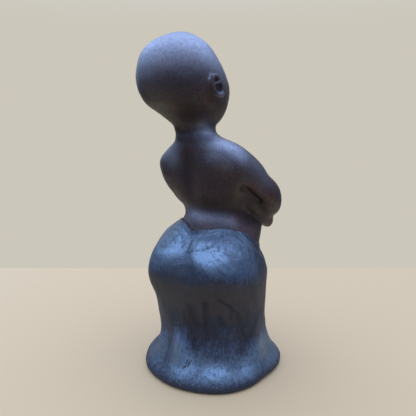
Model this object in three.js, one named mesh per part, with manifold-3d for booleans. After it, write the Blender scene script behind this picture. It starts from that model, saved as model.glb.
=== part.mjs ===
// Goddess statuette: a standing woman with a long bare skull, folded arms and a flared skirt,
// modelled by hand in one piece of dark fired clay. Sizes are millimetres.
// +Z is up, the figure faces -Y, her right hand is on the -X side, and the origin is the
// middle of the flat underside.
import * as THREE from 'three';
import { LoftGeometry } from 'three/addons/geometries/LoftGeometry.js';
import { mergeVertices } from 'three/addons/utils/BufferGeometryUtils.js';
import Module from 'manifold-3d';

const wasm = await Module();
wasm.setup();

// Driving dimensions
const height = 310; // floor to crown
const headTurn = 9; // degrees, the face looks a little to her right
const clayEdge = 1.6; // how far the skirt stands out from the skin at its waist
const lapHeight = 8; // over which the skirt comes to lie on the hips, just below its waist edge

// Level sections through skirt and body, from the floor up:
// height, middle x, widest line y, half width, depth in front, depth behind
const skirtSections = [
  [0, -1, 0, 62.4, 62.4, 62.6],
  [1.6, -1, 0, 65, 65, 65],
  [4.5, -1, 0, 66.2, 66.2, 66.2],
  [11, -1, 0, 62.6, 62.6, 62.3],
  [18, -1, 0, 57, 57, 57],
  [27, -1, 0, 52.5, 52.5, 52.5],
  [38, -1, 0, 50, 50, 50],
  [52, -1, 1, 50.5, 50, 50.5],
  [70, -1, 3, 52, 52, 52.5],
  [88, -0.8, 7, 53.3, 54, 51.5],
  [103, -0.5, 9, 52.2, 53.5, 48.5],
  [114, -0.3, 9, 50, 52.5, 45],
  [125, 0, 5, 46.8, 50.5, 43.5],
  [132, 0, -1, 44, 50.5, 42.5],
  [138, 0, -7, 40.5, 50, 40.5],
  [144, -0.5, -13, 36.5, 49, 40],
  [150, -1, -16, 32, 45, 40],
];
const bodySections = [
  [70, -1, 3, 46, 48, 46],
  [100, -1, 7, 47, 50, 44],
  [118, -1, 5, 46, 52, 42],
  [130, -1, -3, 42.5, 54, 40.5],
  [138, -1, -8, 39, 53.5, 41],
  [144, -1.5, -10, 34.5, 52, 42],
  [150, -2, -10, 30.5, 50, 42],
  [157, -1.5, -7, 29.5, 50, 39],
  [166, 0, 0, 33.5, 52, 35.5],
  [178, 1.5, 6, 40.5, 49, 34],
  [190, 2, 8, 43.5, 42, 34.5],
  [199, 1.5, 9, 44, 35, 34],
  [206, 0, 10.5, 41, 29.5, 33],
  [212, -1.5, 13, 36.5, 24.5, 30.5],
  [217, -1.5, 16, 29.5, 20.5, 26.5],
  [222, 2, 20, 21.5, 18.5, 22],
  [227, 4, 22.8, 18.4, 19, 18.5],
  [232, 4.2, 25.2, 18.6, 22, 18.2],
  [238, 4.4, 28.8, 23, 31, 21.5],
  [244, 4.7, 32.1, 28, 37.5, 28.5],
  [250, 5, 36, 32, 42, 37],
  [256, 5.4, 38.6, 34.4, 44.8, 40],
  [262, 5.4, 40, 35.6, 45.6, 42.2],
  [268, 5.3, 41, 36, 44.6, 43],
  [274, 5.3, 41.6, 35.7, 41.5, 42.4],
  [280, 5.5, 41.8, 34.7, 37, 41],
  [286, 5.9, 41.8, 32.8, 32, 38.9],
  [292, 6.3, 41.4, 29.8, 26.8, 36],
  [298, 6.3, 41, 25.2, 20.5, 30.5],
  [303, 5.8, 41, 18.6, 14.4, 22.4],
  [307, 5.4, 41, 11.6, 9.6, 13.6],
  [309.2, 5.2, 41, 6, 5.6, 7],
  [height, 5.2, 41, 1, 1, 1],
];

// Arms from inside the shoulder blade to the fingertips: points on the middle line, each
// x, y, z, thickness and width (half sizes)
const rightArm = [
  [-12, 19, 198, 12, 14],
  [-25, 12, 200.5, 15, 16],
  [-34, 0, 192, 16, 16.5],
  [-39.4, -14, 178.6, 14.4, 16],
  [-45, -30, 166, 13.5, 15.5],
  [-40, -41, 157, 13, 14],
  [-27, -53, 157, 12.5, 12.5],
  [-8, -58, 161, 11, 11],
  [10, -59, 166, 9, 9],
  [20, -58, 169, 7, 9],
];
const leftArm = [
  [14, 19, 194, 12, 14],
  [28, 12, 196, 14, 15.5],
  [37, 0, 189, 15.5, 15.5],
  [43, -15, 177, 14.5, 15.5],
  [45, -32, 163, 13.5, 14],
  [39, -48, 153, 12.5, 13],
  [23, -61, 148, 11.5, 12],
  [2, -68, 144, 10.5, 11],
  [-17, -66, 141, 8.5, 9],
  [-29, -59, 140, 7, 9],
];

// Her left hand wraps round her right side to under the shoulder blade
const leftHand = [
  [-26, -59, 141, 7, 9],
  [-37, -49, 140.5, 6.5, 8.5],
  [-38, -38, 145, 6, 8],
  [-36, -24, 153.2, 5.5, 6.8],
  [-34, -8, 162.8, 4.8, 5.4],
  [-30.5, 4, 169.4, 4, 4],
];

// The skirt's waist edge: angle in degrees and height, notched over the cleft, high on her
// left hip and low under the belly
const waistLine = [
  [-180, 120],
  [-130, 128],
  [-90, 141],
  [-60, 144],
  [-30, 146.5],
  [-8, 145],
  [4, 139.5],
  [14, 140.5],
  [40, 141.5],
  [66, 138.5],
  [79, 135],
  [88, 130],
  [96, 124],
  [115, 120],
  [180, 120],
];

// The cleft between the buttocks and the row of low folds above the hem; angles are in degrees
const cleft = { depth: 4, at: 5, breadth: 7, from: 102, deepest: 122, top: 138 };
const folds = { depth: 1.5, count: 9, middle: 28, tall: 17 };
const hemTall = 16; // how far up the hem's waves run out

// Low swells and hollows: reach, angle and breadth in degrees, height and tallness
const rump = [6.5, 8, 34, 141, 10];
const buttocks = [-31, 31].map((side) => [6.5, side, 27, 104, 24]);
const skirtSwells = [
  [1.8, -1, 8, 36, 15], // main fold behind
  [2, 121, 25, 100, 12], // front of her right thigh
  [-3.6, -59, 22, 18, 9], // hollow above the hem on her left
];
const waistSwells = [
  [2.5, -15, 18, 139, 6], // lip of the skirt left of the cleft
  [1.5, 36, 24, 136.5, 5], // and over the right buttock
];
const bodySwells = [
  [-3.6, 2, 10, 188, 29], // hollow of the spine
  [1.8, -36, 19, 193, 13], // shoulder blades
  [3.4, 42, 22, 202, 9],
  [-1.8, 44, 22, 184, 7], // hollow under the right shoulder blade
  [2.5, -74, 17, 191, 14], // backs of the armpits
  [4.5, 74, 17, 191, 14],
  [2.5, -62, 24, 203, 9], // left shoulder
  [2.5, 75, 38, 222, 7], // right side of the neck, running out over the shoulder
  [2, 121, 26, 212, 6],
  [-2.4, -62, 25, 151, 9], // left side of the waist
  [2, 121, 22, 139, 8], // right side of the belly
];

// The hem stands out and sinks in by turns: angle in degrees, reach and breadth in degrees
const hemWaves = [
  [32, 1.3, 22],
  [82, -4.6, 18],
  [130, 0.8, 16],
  [170, 1.8, 20],
  [-140, -2.5, 18],
  [-95, 1.6, 25],
];

// The head leans back and its own directions are: to her right, up and forward
const headMiddle = new THREE.Vector3(5.8, 40, 264);
const headTilt = 22; // degrees

const degrees = Math.PI / 180;
const smoothstep = (low, high, v) => THREE.MathUtils.smoothstep(v, low, high);
const bump = (distance, width) => Math.exp(-((distance / width) ** 2));

const angleFrom = (a, b) => Math.atan2(Math.sin(a - b), Math.cos(a - b));
const swell = ([reach, at, breadth, middle, tall], z, angle) => (
  reach * bump(angleFrom(angle, at * degrees), breadth * degrees) * bump(z - middle, tall));
const allSwells = (table, z, angle) => table.reduce((sum, row) => sum + swell(row, z, angle), 0);

// One column of a table as a smooth function of the first column: cubic pieces whose slopes
// never overshoot the given values
function profile(table, column) {
  const z = table.map((row) => row[0]);
  const v = table.map((row) => row[column]);
  const step = z.slice(1).map((next, i) => (v[i + 1] - v[i]) / (next - z[i]));
  const slope = z.map((_, i) => {
    if (i === 0) return step[0];
    if (i === z.length - 1) return step[i - 1];
    const [a, b] = [step[i - 1], step[i]];
    return a * b <= 0 ? 0 : (2 * a * b) / (a + b);
  });
  return (at) => {
    let i = 0;
    while (i < z.length - 2 && at > z[i + 1]) i++;
    const h = z[i + 1] - z[i];
    const t = THREE.MathUtils.clamp((at - z[i]) / h, 0, 1);
    const u = 1 - t;
    return u * u * (1 + 2 * t) * v[i] + t * t * (3 - 2 * t) * v[i + 1]
      + h * t * u * (u * slope[i] - t * slope[i + 1]);
  };
}

// A level section: the point at an angle, counted from the middle of her back towards her right
function sectionSurface(table) {
  const [midX, midY, halfWidth, front, behind] = [1, 2, 3, 4, 5].map((c) => profile(table, c));
  return (z, angle, outwards, target) => {
    const turn = headTurn * degrees * smoothstep(222, 248, z);
    const depth = Math.cos(angle) > 0 ? behind(z) : front(z);
    const x = -(halfWidth(z) + outwards) * Math.sin(angle);
    const y = (depth + outwards) * Math.cos(angle);
    return target.set(
      midX(z) + x * Math.cos(turn) + y * Math.sin(turn),
      midY(z) - x * Math.sin(turn) + y * Math.cos(turn),
      z,
    );
  };
}
const skirtSurface = sectionSurface(skirtSections);
const bodySurface = sectionSurface(bodySections);

const waistHeight = profile(waistLine, 1);
const waistEdge = (angle) => waistHeight(angleFrom(angle, 0) / degrees);

// How far the skirt swells or sinks from its plain section: the rump and buttocks with the
// cleft between them, upright folds above the hem and the hem's own waves
function skirtRelief(z, angle) {
  const fading = 1 - 0.55 * smoothstep(cleft.deepest, cleft.top, z);
  const deep = cleft.depth * smoothstep(cleft.from, cleft.deepest, z) * fading;
  const furrow = -deep * bump(angleFrom(angle, cleft.at * degrees), cleft.breadth * degrees);
  const upright = folds.depth * Math.cos(folds.count * angle) * bump(z - folds.middle, folds.tall);
  const hem = hemWaves.reduce((sum, [at, reach, breadth]) => (
    sum + reach * bump(angleFrom(angle, at * degrees), breadth * degrees)), 0);
  const swells = allSwells([rump, ...buttocks, ...skirtSwells], z, angle);
  return swells + furrow + upright + hem * bump(z, hemTall);
}

// How far the skin swells or sinks from its plain section
const bodyRelief = (z, angle) => allSwells([rump, ...bodySwells], z, angle);

// The head's own directions: to her right, up along the leaning head, and forward
function headAxes() {
  const [turn, tilt] = [headTurn * degrees, headTilt * degrees];
  const right = new THREE.Vector3(-Math.cos(turn), Math.sin(turn), 0);
  const level = new THREE.Vector3(-Math.sin(turn), -Math.cos(turn), 0);
  const upwards = new THREE.Vector3(0, 0, 1);
  const forward = level.clone().multiplyScalar(Math.cos(tilt)).addScaledVector(upwards, Math.sin(tilt));
  const up = upwards.multiplyScalar(Math.cos(tilt)).addScaledVector(level, -Math.sin(tilt));
  return [right, up, forward];
}
const [headRight, headUp, headForward] = headAxes();

function headPoint(right, up, forward) {
  return headMiddle.clone()
    .addScaledVector(headRight, right)
    .addScaledVector(headUp, up)
    .addScaledVector(headForward, forward);
}

// How far the face swells or sinks at a point: eye hollows, brow, cheeks, mouth and chin
function faceRelief(point) {
  const from = point.clone().sub(headMiddle);
  const [right, up] = [Math.abs(from.dot(headRight)), from.dot(headUp)];
  const spot = (r, u, wide, tall) => bump(right - r, wide) * bump(up - u, tall);
  const eyes = -2.4 * spot(12.5, 0.5, 10, 8);
  const brow = 1.2 * spot(11, 9.5, 13, 4.5);
  const cheeks = 1.2 * spot(17, -13, 10, 9);
  const mouth = 2 * spot(0, -22, 11, 7) + 2.6 * spot(0, -36, 10, 6) - 1.2 * spot(0, -29.5, 8, 3);
  return (eyes + brow + cheeks + mouth) * smoothstep(12, 28, from.dot(headForward));
}

// A closed solid lofted through rings; ring(i) gives one ring's points
function loft(rings, ring) {
  const sections = Array.from({ length: rings }, (_, i) => ring(i));
  return solid(new LoftGeometry(sections, { capStart: true, capEnd: true }));
}

// A closed mesh as a solid that can be joined to others
function solid(geometry) {
  const bare = new THREE.BufferGeometry();
  bare.setAttribute('position', geometry.getAttribute('position'));
  bare.setIndex(geometry.getIndex());
  const merged = mergeVertices(bare, 1e-3);
  return new wasm.Manifold(new wasm.Mesh({
    numProp: 3,
    vertProperties: merged.attributes.position.array,
    triVerts: new Uint32Array(merged.index.array),
  }));
}

function around(count, point) {
  return Array.from({ length: count }, (_, i) => point((i / count) * 2 * Math.PI));
}

// The skirt follows its own sections and near the waist lies on the hips, one clay edge thick
function skirtPoint(z, angle, inset) {
  const edge = waistEdge(angle);
  const outwards = clayEdge - inset + allSwells(waistSwells, z, angle);
  const own = skirtSurface(z, angle, skirtRelief(z, angle) + outwards, new THREE.Vector3());
  const hip = bodySurface(z, angle, bodyRelief(z, angle) + outwards, new THREE.Vector3());
  return own.lerp(hip, smoothstep(edge - 2 - lapHeight, edge - 2, z));
}

// Level rings that lean into the waist edge from the knees upwards; the last ring is tucked in
// under the skin, just above the edge
function skirt() {
  const heights = [
    0, 1.2, 3.5, 7, 11, 15, 20, 26, 33, 41, 50, 59, 68, 77, 86, 94, 101, 107, 113, 118, 122.5, 126.5, 129,
  ];
  const top = heights.length - 1;
  const [knees, tuck, edgeRounding] = [70, 6, 0.5];
  const ringHeight = (i, angle) => {
    const z = heights[i];
    return z + (waistEdge(angle) - heights[top]) * smoothstep(knees, heights[top], z);
  };
  return loft(heights.length + 1, (i) => around(50, (a) => {
    if (i > top) return skirtPoint(ringHeight(top, a) + 1, a, tuck);
    return skirtPoint(ringHeight(i, a), a, i === top ? edgeRounding : 0);
  }));
}

function body() {
  const heights = [
    84, 104, 118, 128, 135, 141, 147, 153, 160, 167, 174, 181, 188, 195, 201, 206, 210.5, 214.5, 218,
    222, 226, 230, 234, 238, 242, 246, 250, 254.5, 259, 263.5, 268, 272.5, 277, 281.5, 286, 290.5, 294.5,
    298, 301, 303.8, 306.2, 308.2, 309.4, height,
  ];
  const point = (z, angle) => {
    const plain = bodySurface(z, angle, 0, new THREE.Vector3());
    const relief = z > 230 ? faceRelief(plain) : bodyRelief(z, angle);
    return bodySurface(z, angle, relief, plain);
  };
  return loft(heights.length, (i) => around(40, (a) => point(heights[i], a)));
}

// A limb: an oval section carried along a smooth line, flat towards the body's middle line
function limb(table, rings, sides) {
  const points = table.map(([x, y, z]) => new THREE.Vector3(x, y, z));
  const line = new THREE.CatmullRomCurve3(points, false, 'centripetal');
  const size = (column, t) => {
    const at = t * (table.length - 1);
    const i = Math.min(Math.floor(at), table.length - 2);
    return THREE.MathUtils.lerp(table[i][column], table[i + 1][column], at - i);
  };
  return loft(rings + 1, (ring) => {
    const t = ring / rings;
    const centre = line.getPoint(t);
    const along = line.getTangent(t);
    const out = new THREE.Vector3(centre.x - 3, centre.y + 5, 0).normalize();
    out.addScaledVector(along, -out.dot(along)).normalize();
    const across = new THREE.Vector3().crossVectors(along, out);
    const end = Math.min(1, Math.sqrt(Math.max(0.12, Math.min(t, 1 - t) * rings * 0.8)));
    return around(sides, (a) => centre.clone()
      .addScaledVector(out, size(3, t) * end * Math.cos(a))
      .addScaledVector(across, size(4, t) * end * Math.sin(a)));
  });
}

// An egg-shaped solid; its half sizes run along the given three directions
function egg(middle, sizes, directions, detail = 8) {
  const ball = new THREE.SphereGeometry(1, detail, Math.round(detail * 0.7));
  const [a, b, c] = directions.map((d, i) => d.clone().multiplyScalar(sizes[i]));
  ball.applyMatrix4(new THREE.Matrix4().makeBasis(a, b, c).setPosition(middle));
  return solid(ball);
}

// Directions of a face feature rolled about the forward direction, in degrees; the first
// points to her left so that the three stay right-handed
function rolled(roll = 0) {
  const [c, s] = [Math.cos(roll * degrees), Math.sin(roll * degrees)];
  const left = headRight.clone().negate();
  return [
    left.clone().multiplyScalar(c).addScaledVector(headUp, s),
    headUp.clone().multiplyScalar(c).addScaledVector(left, -s),
    headForward,
  ];
}

function face() {
  const sides = [-1, 1];
  const ridge = egg(headPoint(0, -5, 37.5), [3.8, 11, 5.2], rolled(), 10);
  const tip = egg(headPoint(0, -12, 41), [4.6, 3.8, 4.4], rolled());
  const nostrils = sides.map((s) => egg(headPoint(4.2 * s, -13.2, 39.4), [2.8, 2.6, 3.2], rolled()));
  const lids = sides.map((s) => egg(headPoint(12.5 * s, 0.5, 31.6), [7.4, 4, 4.4], rolled(5 * s), 10));
  const lips = [-20.6, -24.2].map((up, i) => egg(headPoint(0, up, 39 - i), [8.2 - i, 2.2, 4.4], rolled()));
  return [ridge, tip, ...nostrils, ...lids, ...lips];
}

// An ear: a leaning leaf with a hollow in it; side is 1 for her right and -1 for her left
function ear(side) {
  const across = headRight.clone().multiplyScalar(side).addScaledVector(headForward, -0.4).normalize();
  const up = headUp.clone().addScaledVector(headForward, -0.12);
  up.addScaledVector(across, -up.dot(across)).normalize();
  const along = new THREE.Vector3().crossVectors(across, up);
  const leaf = egg(headPoint(side * 36.8, -1.2, 0.2), [4.2, 10.2, 5.9], [across, up, along], 14);
  const hollow = egg(headPoint(side * 41.5, -0.8, -1), [4, 6.6, 3.4], [across, up, along], 10);
  return leaf.subtract(hollow);
}

function breasts() {
  const directions = [new THREE.Vector3(1, 0, 0), new THREE.Vector3(0, 1, 0), new THREE.Vector3(0, 0, 1)];
  return [-17, 18].map((x) => egg(new THREE.Vector3(x, -36, 179), [16, 15, 17], directions, 14));
}

// Four fingers side by side, from the root and tip of the first one and the step to the next
function fingers(first, tip, step, bow) {
  const lengths = [0.9, 1, 0.97, 0.84];
  return lengths.map((length, i) => {
    const at = (t, bent) => first.map((v, k) => (
      v + step[k] * i + (tip[k] - v) * length * t + bow[k] * bent));
    const [root, bend, end] = [at(0, 0), at(0.55, 1), at(1, 0)];
    return limb([[...root, 4.8, 3.8], [...bend, 4.6, 3.7], [...end, 4, 3.3]], 4, 7);
  });
}

function hands() {
  const right = fingers([19, -56, 174], [44, -38, 177], [0.6, 0.4, -4.7], [1, -4, 0]);
  return [...right, limb(leftHand, 7, 9)];
}

const arms = [limb(rightArm, 18, 13), limb(leftArm, 18, 13)];
const forms = [skirt(), body(), ...arms, ...breasts(), ...hands(), ...face(), ear(1), ear(-1)];
const figure = forms.reduce((whole, form) => whole.add(form));

function asGeometry(manifold) {
  const mesh = manifold.getMesh();
  return new THREE.BufferGeometry()
    .setAttribute('position', new THREE.BufferAttribute(mesh.vertProperties, 3))
    .setIndex(new THREE.BufferAttribute(mesh.triVerts, 1));
}

const firedClay = new THREE.MeshStandardMaterial({ color: 0x34323a, roughness: 0.5, metalness: 0.1 });
const statuette = new THREE.Mesh(asGeometry(figure), firedClay);
statuette.name = 'statuette';

const part = new THREE.Group();
part.add(statuette);

export default part;
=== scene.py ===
# Goddess statuette in dark fired clay: a woman with a long bare skull, folded arms and a flared skirt.
# Tables are in millimetres in the part's own frame: +Z up, she faces -Y, her right hand is on -X.
# Angles round the body are counted from the middle of her back towards her right.
import math

import bpy
import numpy as np
from mathutils import Matrix, Vector


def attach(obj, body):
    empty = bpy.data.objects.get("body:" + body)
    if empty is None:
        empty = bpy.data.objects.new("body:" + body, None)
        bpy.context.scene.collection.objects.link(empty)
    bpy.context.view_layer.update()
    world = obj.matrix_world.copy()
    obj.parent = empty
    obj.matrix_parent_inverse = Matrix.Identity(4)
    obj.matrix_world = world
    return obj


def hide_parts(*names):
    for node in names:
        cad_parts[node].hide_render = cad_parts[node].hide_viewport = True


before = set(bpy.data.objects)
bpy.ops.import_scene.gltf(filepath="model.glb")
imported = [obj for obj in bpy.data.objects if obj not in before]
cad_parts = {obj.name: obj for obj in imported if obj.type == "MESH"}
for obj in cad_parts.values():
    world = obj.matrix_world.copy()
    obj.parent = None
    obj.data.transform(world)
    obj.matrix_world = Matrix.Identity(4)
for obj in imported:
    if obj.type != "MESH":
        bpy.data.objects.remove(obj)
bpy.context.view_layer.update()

millimetre = 0.001

head = {
    "middle": (5.8, 40.0, 264.0),
    "turn": 9.0,  # degrees, towards her right
    "tilt": 22.0,  # degrees, leaning back
    "turnsBetween": (222.0, 248.0),  # heights over which the neck twists
    "faceAbove": 230.0,  # height from which the surface has the face's relief
}

torso = {
    # height, middle x, widest line y, half width, depth in front, depth behind
    "sections": [
        (70, -1, 3, 46, 48, 46),
        (100, -1, 7, 47, 50, 44),
        (118, -1, 5, 46, 52, 42),
        (130, -1, -3, 42.5, 54, 40.5),
        (138, -1, -8, 39, 53.5, 41),
        (144, -1.5, -10, 34.5, 52, 42),
        (150, -2, -10, 30.5, 50, 42),
        (157, -1.5, -7, 29.5, 50, 39),
        (166, 0, 0, 33.5, 52, 35.5),
        (178, 1.5, 6, 40.5, 49, 34),
        (190, 2, 8, 43.5, 42, 34.5),
        (199, 1.5, 9, 44, 35, 34),
        (206, 0, 10.5, 41, 29.5, 33),
        (212, -1.5, 13, 36.5, 24.5, 30.5),
        (217, -1.5, 16, 29.5, 20.5, 26.5),
        (222, 2, 20, 21.5, 18.5, 22),
        (227, 4, 22.8, 18.4, 19, 18.5),
        (232, 4.2, 25.2, 18.6, 22, 18.2),
        (238, 4.4, 28.8, 23, 31, 21.5),
        (244, 4.7, 32.1, 28, 37.5, 28.5),
        (250, 5, 36, 32, 42, 37),
        (256, 5.4, 38.6, 34.4, 44.8, 40),
        (262, 5.4, 40, 35.6, 45.6, 42.2),
        (268, 5.3, 41, 36, 44.6, 43),
        (274, 5.3, 41.6, 35.7, 41.5, 42.4),
        (280, 5.5, 41.8, 34.7, 37, 41),
        (286, 5.9, 41.8, 32.8, 32, 38.9),
        (292, 6.3, 41.4, 29.8, 26.8, 36),
        (298, 6.3, 41, 25.2, 20.5, 30.5),
        (303, 5.8, 41, 18.6, 14.4, 22.4),
        (307, 5.4, 41, 11.6, 9.6, 13.6),
        (309.2, 5.2, 41, 6, 5.6, 7),
        (310, 5.2, 41, 1, 1, 1),
    ],
    # reach, angle, breadth in degrees, height, tallness: where the skin swells or sinks
    "relief": [
        (-3.6, 2, 10, 188, 29),  # hollow of the spine
        (1.8, -36, 19, 193, 13), (3.4, 42, 22, 202, 9),  # shoulder blades
        (-1.8, 44, 22, 184, 7),  # hollow under the right shoulder blade
        (2.5, -74, 17, 191, 14), (4.5, 74, 17, 191, 14),  # backs of the armpits
        (2.5, -62, 24, 203, 9),  # left shoulder
        (2.5, 75, 38, 222, 7), (2, 121, 26, 212, 6),  # right side of the neck, out over the shoulder
        (-2.4, -62, 25, 151, 9),  # left side of the waist
        (2.0, 121, 22, 139, 8),  # belly's right side
    ],
    "rump": (6.5, 8, 34, 141, 10),  # the shelf of the rump, which the skirt follows too
    "breasts": [(-17, -36, 179), (18, -36, 179)],
    "breastSize": (16, 15, 17),
    "rings": (84.0, 304.0, 240),  # heights of the lowest and the highest ring, and how many there are
    "crown": (6.0, 12),  # height of the cap above them and its rings
    "around": 300,  # points in a ring
}

skirt = {
    "sections": [
        (0, -1, 0, 62.4, 62.4, 62.6),
        (1.6, -1, 0, 65, 65, 65),
        (4.5, -1, 0, 66.2, 66.2, 66.2),
        (11, -1, 0, 62.6, 62.6, 62.3),
        (18, -1, 0, 57, 57, 57),
        (27, -1, 0, 52.5, 52.5, 52.5),
        (38, -1, 0, 50, 50, 50),
        (52, -1, 1, 50.5, 50, 50.5),
        (70, -1, 3, 52, 52, 52.5),
        (88, -0.8, 7, 53.3, 54, 51.5),
        (103, -0.5, 9, 52.2, 53.5, 48.5),
        (114, -0.3, 9, 50, 52.5, 45),
        (125, 0, 5, 46.8, 50.5, 43.5),
        (132, 0, -1, 44, 50.5, 42.5),
        (138, 0, -7, 40.5, 50, 40.5),
        (144, -0.5, -13, 36.5, 49, 40),
        (150, -1, -16, 32, 45, 40),
    ],
    # angle in degrees and height of the waist edge, notched over the cleft and high on her left hip
    "waistLine": [
        (-180, 120), (-130, 128), (-90, 141), (-60, 144), (-30, 146.5), (-8, 145), (4, 139.5), (14, 140.5),
        (40, 141.5), (66, 138.5), (79, 135), (88, 130), (96, 124), (115, 120), (180, 120),
    ],
    # reach, angle, breadth, height, tallness of the lip left of the cleft and over the right buttock
    "waistSwells": [(2.5, -15, 18, 139, 6), (1.5, 36, 24, 136.5, 5)],
    "waistHeight": 129.0,
    "clayEdge": 1.6,  # how far the skirt stands out from the skin at its waist
    "lapHeight": 8.0,  # over which the skirt comes to lie on the hips
    "lapGap": 2.0,  # how far below the waist edge it does so
    "proud": 0.2,  # how far its top still stands out from the skin
    "closing": (0.4, -5.0),  # rise and reach of the last ring, which closes it inside the body
    # points this near are drawn in to between these distances; and their path's least rise
    "edgeDrawn": (1.8, 0.12, 0.25, 0.3),
    # the step at the edge: its least share, what the left hip adds, and that hip's angle and breadth
    "edgeStep": (0.45, 0.55, -25, 38),
    "lobes": (6.5, 31, 27, 104, 24),  # buttocks: reach, angle to either side, breadth, height, tallness
    "cleft": (-4.0, 5, 7),  # reach, angle, breadth
    "cleftHeights": (102, 122, 138),  # where it begins, is deepest and has eased
    "cleftEases": 0.55,  # the share of its depth that it has lost there
    "flutes": (1.5, 9, 28, 17),  # reach, how many, height, tallness
    # sharper folds: the ridge behind, a fill on its left, the hollow on its right, one further right
    "folds": [(0.5, 1, 6, 36, 14), (1.3, -14, 8, 36, 16), (-1.7, 11, 5, 36, 14), (-0.9, 57, 6, 31, 9)],
    # reach, angle, breadth, height, tallness of the main fold, the right thigh and the left hollow
    "relief": [(1.8, -1, 8, 36, 15), (2, 121, 25, 100, 12), (-3.6, -59, 22, 18, 9)],
    # angle, reach and breadth of the hem's waves
    "hemWaves": [
        (32, 1.3, 22), (82, -4.6, 18), (130, 0.8, 16), (170, 1.8, 20), (-140, -2.5, 18), (-95, 1.6, 25),
    ],
    "hemTall": 16,  # tallness of the bell by which the waves fade upwards
    "shareFade": 0.1,  # how far from the waist edge skin and skirt still mix
    "rings": (150, 360),  # rings, and points in each
    "crowding": 1.15,  # power that draws the rings down to the hem
    "leansFrom": 70.0,  # height from which they lean towards the waist edge
}

arms = {
    # points on each middle line: x, y, z, half thickness, half width
    "right": [
        (-12, 19, 198, 12, 14),
        (-25, 12, 200.5, 15, 16),
        (-34, 0, 192, 16, 16.5),
        (-39.4, -14, 178.6, 14.4, 16),
        (-45, -30, 166, 13.5, 15.5),
        (-40, -41, 157, 13, 14),
        (-27, -53, 157, 12.5, 12.5),
        (-8, -58, 161, 11, 11),
        (10, -59, 166, 9, 9),
        (20, -58, 169, 7, 9),
    ],
    "left": [
        (14, 19, 194, 12, 14),
        (28, 12, 196, 14, 15.5),
        (37, 0, 189, 15.5, 15.5),
        (43, -15, 177, 14.5, 15.5),
        (45, -32, 163, 13.5, 14),
        (39, -48, 153, 12.5, 13),
        (23, -61, 148, 11.5, 12),
        (2, -68, 144, 10.5, 11),
        (-17, -66, 141, 8.5, 9),
        (-29, -59, 140, 7, 9),
    ],
    # her left hand wraps round her right side to under the shoulder blade
    "leftHand": [
        (-26, -59, 141, 7, 9),
        (-37, -49, 140.5, 6.5, 8.5),
        (-38, -38, 145, 6, 8),
        (-36, -24, 153.2, 5.5, 6.8),
        (-34, -8, 162.8, 4.8, 5.4),
        (-30.5, 4, 169.4, 4, 4),
    ],
    # first finger's root and tip, step to the next finger, bow outwards
    "rightFingers": ((19, -56, 174.6), (44, -38, 177.6), (0.6, 0.4, -5.1), (1, -4, 0)),
    "fingerLengths": (0.9, 1.0, 0.97, 0.84),
    "fingerSizes": ((4.7, 2.9), (4.5, 2.8), (4.0, 2.6)),  # half thickness and width at root, bend and tip
    "fingerBend": 0.55,  # how far along a finger it bends
    "bodyMiddle": (3, -5, 0),  # a limb's thickness points away from here
}


def bump(distance, width):
    # a bell: e to the minus square of distance over width
    return np.exp(-(distance / width) ** 2)


def smoothStep(low, high, v):
    # 0 below low, 1 above high, and three t squared less two t cubed between them
    t = np.clip((v - low) / (high - low), 0.0, 1.0)
    return t * t * (3.0 - 2.0 * t)


def angleFrom(a, b):
    # the signed angle from b to a, by the arc tangent of its sine and cosine
    return np.arctan2(np.sin(a - b), np.cos(a - b))


def spot(z, angle, reach, at, breadth, height, tallness):
    # a bell of the angle times a bell of the height, times its reach
    away = np.degrees(angleFrom(angle, math.radians(at)))
    return reach * bump(away, breadth) * bump(z - height, tallness)


def curveThrough(stations, values, at, steady=True):
    # cubic pieces through the values; a steady curve takes harmonic mean slopes and never overshoots
    stations, values = np.asarray(stations, float), np.asarray(values, float)
    gap = np.diff(stations)
    step = np.diff(values) / gap
    slope = np.empty_like(values)
    slope[0], slope[-1] = step[0], step[-1]
    before, after = step[:-1], step[1:]
    if steady:
        same = before * after > 0
        total = np.where(same, before + after, 1.0)
        slope[1:-1] = np.where(same, 2.0 * before * after / total, 0.0)
    else:
        slope[1:-1] = (before * gap[1:] + after * gap[:-1]) / (gap[1:] + gap[:-1])
    i = np.clip(np.searchsorted(stations, at) - 1, 0, len(gap) - 1)
    t = np.clip((at - stations[i]) / gap[i], 0.0, 1.0)
    u = 1.0 - t
    ends = u * u * (1 + 2 * t) * values[i] + t * t * (3 - 2 * t) * values[i + 1]
    return ends + gap[i] * t * u * (u * slope[i] - t * slope[i + 1])


def sectionSurface(sections, height, angle, outwards):
    # an oval ring at each height: x is the half width times the sine and y the depth times the cosine
    # of the angle, both pushed outwards, then turned about the upright axis where the neck twists
    columns = np.array(sections, float).T
    midX, midY, halfWidth, front, behind = (curveThrough(columns[0], c, height) for c in columns[1:])
    turn = math.radians(head["turn"]) * smoothStep(*head["turnsBetween"], height)
    depth = np.where(np.cos(angle) > 0, behind, front)
    x = -(halfWidth + outwards) * np.sin(angle)
    y = (depth + outwards) * np.cos(angle)
    place = (midX + x * np.cos(turn) + y * np.sin(turn), midY - x * np.sin(turn) + y * np.cos(turn))
    return np.stack([*place, height + 0 * angle], -1)


def waistEdge(angle):
    # the waist edge's height as a steady curve of the angle in degrees
    line = np.array(skirt["waistLine"], float)
    return curveThrough(line[:, 0], line[:, 1], np.degrees(angleFrom(angle, 0.0)))


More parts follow.
